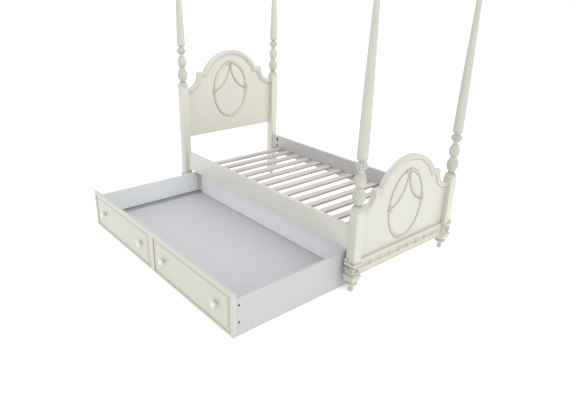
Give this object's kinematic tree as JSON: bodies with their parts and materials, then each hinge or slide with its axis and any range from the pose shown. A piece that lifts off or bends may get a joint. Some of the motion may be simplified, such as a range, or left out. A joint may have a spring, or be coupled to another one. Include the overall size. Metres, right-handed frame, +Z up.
{
  "type": "trundle bed",
  "caption": "Cream four-post twin bed with turned posts, arched headboard and footboard, slats and a roll-out trundle drawer.",
  "frame": {"origin": "on the floor at the middle of the whole footprint, with the trundle rolled out as in use", "axes": "+Z up, +Y towards the headboard, the trundle rolls out towards -X"},
  "size_m": [1.946, 2.0833, 1.99],
  "materials": {
    "cream_paint": "satin cream paint over turned and carved wood",
    "slat_wood": "thin whitewash over raw softwood",
    "drawer_box": "pale blue-grey laminate, low sheen",
    "drawer_floor": "pale lavender-grey board, matte",
    "knob_silver": "antiqued silver-white fluted knob",
    "zinc_steel": "zinc plated",
    "dark_steel": "black oxide, satin",
    "wheel_plastic": "dark moulded nylon"
  },
  "bodies": {
    "bed_frame": {"post_foot_near": "cream_paint", "post_foot_far": "cream_paint", "post_head_near": "cream_paint", "post_head_far": "cream_paint", "shaft_foot_near": "cream_paint", "shaft_foot_far": "cream_paint", "shaft_head_near": "cream_paint", "shaft_head_far": "cream_paint", "turned_foot_foot_near": "cream_paint", "turned_foot_foot_far": "cream_paint", "turned_foot_head_near": "cream_paint", "turned_foot_head_far": "cream_paint", "finials": "cream_paint", "headboard_panel": "cream_paint", "headboard_crown": "cream_paint", "headboard_applique": "cream_paint", "footboard_panel": "cream_paint", "footboard_crown": "cream_paint", "footboard_applique": "cream_paint", "frieze_board": "cream_paint", "frieze_carving": "cream_paint", "plinth_carvings": "cream_paint", "rail_near": "cream_paint", "rail_far": "cream_paint", "rail_bolts": "dark_steel", "rail_nuts": "dark_steel", "ledger_near": "slat_wood", "ledger_far": "slat_wood", "slat_1": "slat_wood", "slat_2": "slat_wood", "slat_3": "slat_wood", "slat_4": "slat_wood", "slat_5": "slat_wood", "slat_6": "slat_wood", "slat_7": "slat_wood", "slat_8": "slat_wood", "slat_9": "slat_wood", "slat_10": "slat_wood", "slat_11": "slat_wood", "slat_12": "slat_wood", "slat_13": "slat_wood", "slat_14": "slat_wood", "slat_screws": "dark_steel"},
    "trundle": {"trundle_front": "cream_paint", "false_drawer_head": "cream_paint", "false_drawer_foot": "cream_paint", "trundle_side_head": "drawer_box", "trundle_side_foot": "drawer_box", "trundle_back": "drawer_box", "trundle_bottom": "drawer_floor", "bottom_bearers": "slat_wood", "box_strips": "drawer_box", "trundle_screws": "dark_steel", "knobs": "knob_silver", "caster_forks": "zinc_steel", "caster_axles": "dark_steel"},
    "wheel_front_foot_body": {"wheel_front_foot": "wheel_plastic"},
    "wheel_front_head_body": {"wheel_front_head": "wheel_plastic"},
    "wheel_back_foot_body": {"wheel_back_foot": "wheel_plastic"},
    "wheel_back_head_body": {"wheel_back_head": "wheel_plastic"}
  },
  "joints": [
    {"name": "trundle_slide", "type": "slide", "parent": "bed_frame", "child": "trundle", "axis": [1, 0, 0], "range_m": [-0.12, 0.857]},
    {"name": "wheel_front_foot_roll", "type": "hinge", "parent": "trundle", "child": "wheel_front_foot_body", "pos_m": [-0.867, -0.884, 0.016], "axis": [0, 1, 0], "continuous": true},
    {"name": "wheel_front_head_roll", "type": "hinge", "parent": "trundle", "child": "wheel_front_head_body", "pos_m": [-0.867, 0.892, 0.016], "axis": [0, 1, 0], "continuous": true},
    {"name": "wheel_back_foot_roll", "type": "hinge", "parent": "trundle", "child": "wheel_back_foot_body", "pos_m": [-0.033, -0.884, 0.016], "axis": [0, 1, 0], "continuous": true},
    {"name": "wheel_back_head_roll", "type": "hinge", "parent": "trundle", "child": "wheel_back_head_body", "pos_m": [-0.033, 0.892, 0.016], "axis": [0, 1, 0], "continuous": true}
  ],
  "couplings": [
    {"joint": "wheel_front_foot_roll", "follows": "trundle_slide", "rad_per_m": 62.5},
    {"joint": "wheel_front_head_roll", "follows": "trundle_slide", "rad_per_m": 62.5},
    {"joint": "wheel_back_foot_roll", "follows": "trundle_slide", "rad_per_m": 62.5},
    {"joint": "wheel_back_head_roll", "follows": "trundle_slide", "rad_per_m": 62.5}
  ]
}
